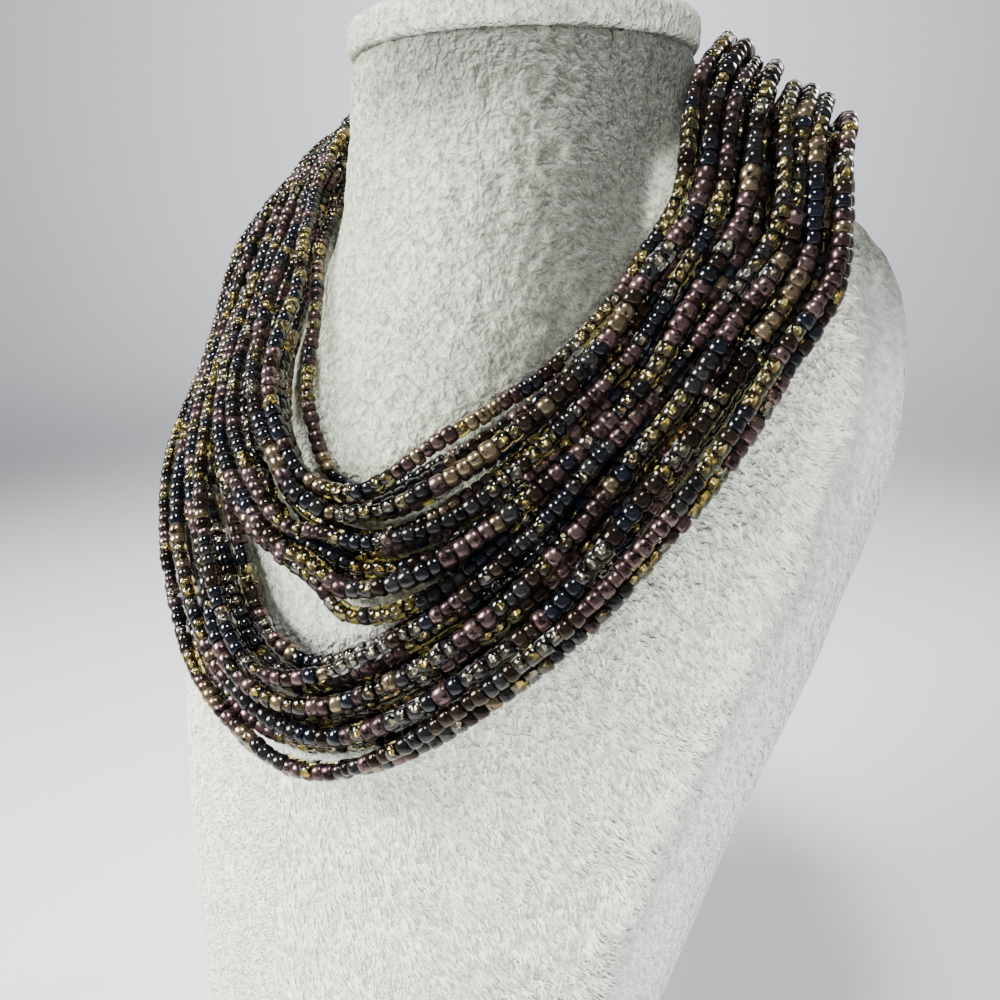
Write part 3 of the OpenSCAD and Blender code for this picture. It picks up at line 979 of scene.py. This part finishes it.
def strung_beads_tree(materials, lining, thread):
    """Geometry nodes that put a bead on every point of a string, and a thread through them."""
    tree, nodes, start, identifiers = geometry_tree(
        "strung_beads", Round_Bead="Object", Clear_Bead="Object", Thread_Radius="Float")
    along = named_attribute(nodes, "along", "FLOAT_VECTOR")
    aim = add_node(nodes, "FunctionNodeAlignRotationToVector", axis="X", Vector=along)
    angle = named_attribute(nodes, "spin")
    spin = add_node(nodes, "FunctionNodeAxisAngleToRotation", Axis=(1, 0, 0), Angle=angle)
    turn = add_node(
        nodes, "FunctionNodeRotateRotation", aim.outputs["Rotation"], spin.outputs["Rotation"],
        rotation_space="LOCAL")

    def strung(bead_name, selection):
        """The beads of one shape on the points of the string that the selection picks."""
        bead = add_node(nodes, "GeometryNodeObjectInfo", start[bead_name])
        on_points = add_node(
            nodes, "GeometryNodeInstanceOnPoints",
            Points=start["Geometry"],
            Selection=selection,
            Instance=bead.outputs["Geometry"],
            Rotation=turn.outputs["Rotation"],
            Scale=named_attribute(nodes, "bead_size", "FLOAT_VECTOR"),
        )
        return on_points.outputs["Instances"]

    clear = named_attribute(nodes, "clear", "BOOLEAN")
    opaque = add_node(nodes, "FunctionNodeBooleanMath", clear, operation="NOT").outputs["Boolean"]
    made = realized(nodes, joined_up(nodes, strung("Round Bead", opaque), strung("Clear Bead", clear)))
    finish = named_attribute(nodes, "finish", "INT")
    for k, material in enumerate(materials):
        compared = add_node(
            nodes, "FunctionNodeCompare", None, None, finish, k, data_type="INT", operation="EQUAL")
        same = compared.outputs["Result"]
        made = with_material(nodes, made, material, same)
        if material.name in CLEAR_FINISHES:
            in_hole = named_attribute(nodes, "in_hole", "BOOLEAN")
            both = add_node(nodes, "FunctionNodeBooleanMath", same, in_hole, operation="AND")
            made = with_material(nodes, made, lining, both.outputs["Boolean"])

    line = add_node(nodes, "GeometryNodeMeshToCurve", start["Geometry"])
    circle = add_node(
        nodes, "GeometryNodeCurvePrimitiveCircle", Resolution=THREAD_SIDES, Radius=start["Thread Radius"])
    tube = add_node(
        nodes, "GeometryNodeCurveToMesh",
        Curve=line.outputs["Curve"],
        Profile_Curve=circle.outputs["Curve"],
        Fill_Caps=True,
    )
    threaded = with_material(nodes, tube.outputs["Mesh"], thread)
    add_node(nodes, "NodeGroupOutput", joined_up(nodes, made, threaded))
    return tree, identifiers


STRING_SEED = 41
BEAD_LENGTH = (0.64, 0.82)
SAME_AGAIN = 0.32
END_ROOM = 0.6
LOOSENESS = 2.4
LOOSE_WAVES = 11
LOOSE_STEP = 3.7
STILL_ENDS = (0.02, 0.10)
TILT = 0.10
SHIFT = 0.07
LINE_STEPS = 1600
WAY_REACH = 0.8
FINISH_DRAW = (0.55, 1.45)
WIDTH_DRAW = (0.97, 1.10)
NARROW_SHARE = 0.14
NARROWER = 0.84
SPIN_DRAW = (0, 6.28)
TOUCHING = 1.01


def loosened(line, i):
    """The strand's line with the small bends of a loose string, none at the clasp."""
    s = np.linspace(0, 1, len(line))
    bends = np.array([noise.noise_vector(Vector((LOOSE_WAVES * t, LOOSE_STEP * i, 0))) for t in s])
    freedom = smooth_step(*STILL_ENDS, np.minimum(s, 1 - s))
    return line + LOOSENESS * bends * freedom[:, None]


def string_of_points(i):
    """Bead centres along strand i with each bead's way and size.

    Also a row for each bead: place, width, length, finish, shade and spin.
    """
    draw = random.Random(STRING_SEED * 100 + i)
    tube = SMALL_BEAD if 7 * i % 5 < 2 else LARGE_BEAD
    line = loosened(strand_line(i, LINE_STEPS), i)
    along = np.concatenate([[0], np.cumsum(np.linalg.norm(np.diff(line, axis=0), axis=1))])
    weights = [finish[1] * draw.uniform(*FINISH_DRAW) for finish in BEAD_FINISHES]
    kinds = range(len(BEAD_FINISHES))
    at = END_ROOM
    beads = []
    kind = draw.choices(kinds, weights)[0]
    while True:
        if draw.random() > SAME_AGAIN:
            kind = draw.choices(kinds, weights)[0]
        width = tube * draw.uniform(*WIDTH_DRAW)
        if draw.random() < NARROW_SHARE:
            width *= NARROWER
        length = width * draw.uniform(*BEAD_LENGTH)
        if at + length > along[-1] - END_ROOM:
            break
        beads.append((at + length / 2, width, length, kind, draw.random(), draw.uniform(*SPIN_DRAW)))
        at += length
    stretch = (along[-1] - 2 * END_ROOM) / (at - END_ROOM)
    centre = np.array([END_ROOM + (b[0] - END_ROOM) * stretch for b in beads])
    points = np.stack([np.interp(centre, along, line[:, k]) for k in range(3)], 1)
    before = np.stack([np.interp(centre - WAY_REACH, along, line[:, k]) for k in range(3)], 1)
    after = np.stack([np.interp(centre + WAY_REACH, along, line[:, k]) for k in range(3)], 1)
    way = unit(after - before)
    tilt = np.array([[draw.gauss(0, TILT) for _ in range(3)] for _ in beads])
    shift = np.array([[draw.gauss(0, SHIFT) for _ in range(3)] for _ in beads])
    size = np.array([(b[2] / 2 * stretch * TOUCHING, b[1] / 2, b[1] / 2) for b in beads])
    return points + shift, unit(way + tilt), size, beads


def make_strands():
    materials = [bead_finish_material(finish) for finish in BEAD_FINISHES]
    tree, identifiers = strung_beads_tree(materials, lining_material(), thread_material())
    round_bead = bead_template("round_bead", ROUND_OUTLINE, ROUND_SIDES)
    clear_bead = bead_template("clear_bead", CLEAR_OUTLINE, CLEAR_SIDES, square=True)
    clear_kinds = [k for k, finish in enumerate(BEAD_FINISHES) if finish[0] in CLEAR_FINISHES]
    for i in range(STRANDS):
        name = f"bead_string_{i + 1:02d}"
        points, way, size, beads = string_of_points(i)
        edges = [(k, k + 1) for k in range(len(points) - 1)]
        mesh = new_mesh(name + "_points", (points * MM).tolist(), [], edges)
        store(mesh, "along", way, "FLOAT_VECTOR")
        store(mesh, "bead_size", size * MM, "FLOAT_VECTOR")
        store(mesh, "spin", [b[5] for b in beads])
        store(mesh, "shade", [b[4] for b in beads])
        store(mesh, "finish", [b[3] for b in beads], "INT")
        store(mesh, "clear", [b[3] in clear_kinds for b in beads], "BOOLEAN")
        made = made_by(tree, mesh, identifiers, (round_bead, clear_bead, THREAD_RADIUS * MM))
        piece = add_piece(name, made)
        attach(piece, "root")
        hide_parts(f"strand_{i + 1:02d}")
    bpy.data.objects.remove(round_bead)
    bpy.data.objects.remove(clear_bead)


# Velvet and metal

# How much darker the painted shade makes the velvet and the pile where it is full
PAINTED_SHADE_DARKER = 0.86
# The pile on the neck lies in fine curls: their size as a step of the noise, their height, and how much
# lighter their raised crests are painted
CURL_STEP = 0.12
CURL_HEIGHT = 1.4
CURL_PAINTED_LIGHT = 0.7
# How far the pile's pattern is bent, in metres, and how much longer than wide its streaks are
WARP = 0.0018
STREAK_STRETCH = 2.6
PATCH_EDGE = (0.42, 0.58)
FIBRE_HEIGHT = 0.55
WALL_HEIGHT_LEFT = 0.4
# How much the painted highlight on the turn's crest lightens the velvet, and the painted shadow behind it
# darkens it
RIDGE_PAINTED_LIGHT = 0.24
VELVET_BUMP = 0.0060


def with_painted_shade(nodes, colour):
    """The colour with painted shade: darker at the neck's near side and top, and low on the near wall."""
    leaning = attribute_of(nodes, "leaning")
    return scaled(nodes, colour, calculated(nodes, "MULTIPLY_ADD", leaning, -PAINTED_SHADE_DARKER, 1.0))


def velvet_material():
    """Cream velvet: short fibres that lean different ways from patch to patch, smoother on the side walls."""
    material, nodes, shader, place = new_material("cream_velvet")
    wall = attribute_of(nodes, "side_wall")
    warp = noise_node(nodes, place, 170.0).outputs["Color"]
    bent = add_node(
        nodes, "ShaderNodeVectorMath", warp, (WARP, WARP, WARP), place, operation="MULTIPLY_ADD").outputs[0]

    def streaks(lean_angle, scale):
        """Fine streaks of pile that all lean one way, by an angle from upright in the bust's front."""
        lean = add_node(
            nodes, "ShaderNodeMapping",
            vector_type="TEXTURE",
            Vector=bent,
            Rotation=(0, math.radians(lean_angle), 0),
            Scale=(1.0, 1.0, STREAK_STRETCH),
        )
        return grain(nodes, lean.outputs["Vector"], scale, 3.0, 0.65)

    def patches(scale):
        return ranged(nodes, grain(nodes, place, scale), *PATCH_EDGE)

    left, right, level = streaks(-48, 1050.0), streaks(-20, 1150.0), streaks(-75, 980.0)
    fibres = mixed(nodes, "FLOAT", patches(90.0), left, mixed(nodes, "FLOAT", patches(60.0), right, level))
    clumps = grain(nodes, bent, 540.0, 3.0, 0.55)
    curls = calculated(nodes, "PINGPONG", grain(nodes, bent, 300.0, 1.0), CURL_STEP)
    curled = calculated(nodes, "MULTIPLY", curls, ranged(nodes, wall, at_low=1.0, at_high=0.0))

    height = calculated(nodes, "MULTIPLY_ADD", fibres, FIBRE_HEIGHT, clumps)
    height = calculated(nodes, "MULTIPLY_ADD", curled, CURL_HEIGHT, height)
    standing = ranged(nodes, wall, at_low=1.0, at_high=WALL_HEIGHT_LEFT)
    amount = calculated(nodes, "MULTIPLY", height, standing)

    # The colour follows the pile's height: partly the pile's own tone and partly painted relief shade,
    # lighter where it stands up and darker in its dips
    tone = calculated(nodes, "MULTIPLY_ADD", fibres, 0.5, calculated(nodes, "MULTIPLY", clumps, 0.5))
    crests = calculated(nodes, "MULTIPLY_ADD", curled, CURL_PAINTED_LIGHT, tone)
    front = colour_ramp(nodes, crests, (0.42, 0.425, 0.325), (0.87, 0.895, 0.715), 0.44, 0.60)
    walls = colour_ramp(nodes, tone, (0.54, 0.545, 0.52), (0.78, 0.805, 0.775), 0.40, 0.58)
    colour = mixed(nodes, "RGBA", wall, front, walls)
    # Painted highlight on the crest of the turn and painted shadow just behind it
    lighter = calculated(nodes, "MULTIPLY_ADD", attribute_of(nodes, "ridge_tone"), RIDGE_PAINTED_LIGHT, 1.0)
    fill(
        shader,
        Base_Color=with_painted_shade(nodes, scaled(nodes, colour, lighter)),
        Roughness=0.95,
        Specular_IOR_Level=0.15,
        Sheen_Weight=0.28,
        Sheen_Roughness=0.4,
        Sheen_Tint=(0.99, 1.0, 0.95, 1),
        Normal=bumped(nodes, amount, 1.0, VELVET_BUMP),
    )
    return material


def pile_material():
    """The tips of the longer pile, painted lighter than the cloth between them to offset the shade the tufts
    cast on one another.
    """
    material, nodes, shader, place = new_material("cream_pile")
    cloud = grain(nodes, place, 320.0, 5.0, 0.65)
    colour = colour_ramp(nodes, cloud, (0.655, 0.655, 0.51), (0.88, 0.90, 0.725), 0.40, 0.60)
    fill(shader, Base_Color=with_painted_shade(nodes, colour), Roughness=0.95, Specular_IOR_Level=0.1)
    fill(shader, Sheen_Weight=0.25, Sheen_Roughness=0.4)
    return material


def antique_brass():
    material, nodes, shader, place = new_material("antique_brass")
    tarnish = grain(nodes, place, 160.0, 6.0, 0.65)
    colour = colour_ramp(nodes, tarnish, (0.10, 0.070, 0.035), (0.42, 0.31, 0.16), 0.35, 0.65)
    rough = ranged(nodes, tarnish, at_low=0.42, at_high=0.26)
    fill(shader, Base_Color=colour, Roughness=rough, Normal=bumped(nodes, tarnish, 0.3, 0.0001), Metallic=1.0)
    return material


def finish_clasp():
    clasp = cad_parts["clasp"]
    clasp.data.materials.clear()
    clasp.data.materials.append(antique_brass())


# Floor and light

STUDIO_RADIUS = 1.6
STUDIO_CURVE = 0.5
STUDIO_SIDES = 96
FLOOR_MIDDLE = 0.02
FLOOR_RINGS = 12
WALL_RINGS = (1.0, 1.6)


def make_studio():
    """A pale round floor that curves up into a pale wall."""
    profile = [(r, 0.0) for r in np.linspace(FLOOR_MIDDLE, STUDIO_RADIUS - STUDIO_CURVE, FLOOR_RINGS)]
    profile += [
        (STUDIO_RADIUS - STUDIO_CURVE + STUDIO_CURVE * math.sin(a), STUDIO_CURVE * (1 - math.cos(a)))
        for a in np.radians(np.arange(9, 91, 9))
    ]
    profile += [(STUDIO_RADIUS, height) for height in WALL_RINGS]
    sides = STUDIO_SIDES
    verts = [
        (r * math.cos(2 * math.pi * k / sides), r * math.sin(2 * math.pi * k / sides), z)
        for r, z in profile
        for k in range(sides)
    ]
    faces = [
        (j * sides + k, (j + 1) * sides + k, (j + 1) * sides + (k + 1) % sides, j * sides + (k + 1) % sides)
        for j in range(len(profile) - 1)
        for k in range(sides)
    ]
    faces.append(tuple(range(sides)))
    mesh = new_mesh("studio", verts, faces)
    material, nodes, shader, place = new_material("pale_studio")
    cloud = grain(nodes, place, 3.0)
    fill(shader, Base_Color=colour_ramp(nodes, cloud, (0.74, 0.74, 0.76), (0.79, 0.79, 0.81)), Roughness=0.8)
    mesh.materials.append(material)
    add_piece("studio", mesh)


BUST_AIM = (0, -0.03, 0.18)
# name, place, aim, watts, width, height, spread in degrees, colour, whether beads mirror it
LIGHTS = [
    ("window", (-0.80, -0.70, 0.70), BUST_AIM, 5.85, 0.50, 0.50, 60, (1.0, 0.985, 0.96), True),
    ("overhead", (-0.05, -0.22, 1.20), BUST_AIM, 1.6, 0.20, 0.20, 60, (0.96, 0.98, 1.0), True),
    ("front_fill", (0.52, -0.92, 0.26), BUST_AIM, 3.3, 0.30, 0.30, 70, (0.95, 0.98, 0.97), False),
    ("back", (0.25, 0.95, 0.75), BUST_AIM, 1.2, 0.30, 0.30, 70, (0.92, 0.94, 1.0), True),
    ("backdrop", (-0.30, 0.55, 1.00), (-0.95, 1.25, 0.35), 9.0, 0.40, 0.40, 130, (0.97, 0.98, 1.0), False),
]


WORLD_COLOUR = (0.85, 0.87, 0.90, 1)
WORLD_STRENGTH = 0.2


def make_lights():
    for name, place, aim, watts, width, height, spread, colour, mirrored_in_beads in LIGHTS:
        data = bpy.data.lights.new(name, "AREA")
        data.shape = "RECTANGLE"
        data.size = width
        data.size_y = height
        data.energy = watts
        data.color = colour
        data.spread = math.radians(spread)
        light = bpy.data.objects.new(name, data)
        light.location = place
        light.rotation_euler = (Vector(aim) - Vector(place)).to_track_quat("-Z", "Y").to_euler()
        light.visible_camera = False
        light.visible_glossy = mirrored_in_beads
        bpy.context.scene.collection.objects.link(light)
    world = bpy.data.worlds.new("studio_world")
    world.use_nodes = True
    fill(world.node_tree.nodes["Background"], Color=WORLD_COLOUR, Strength=WORLD_STRENGTH)
    bpy.context.scene.world = world


VELVET = velvet_material()
PILE = pile_material()
make_bust()
make_cap()
make_strands()
finish_clasp()
make_studio()
make_lights()
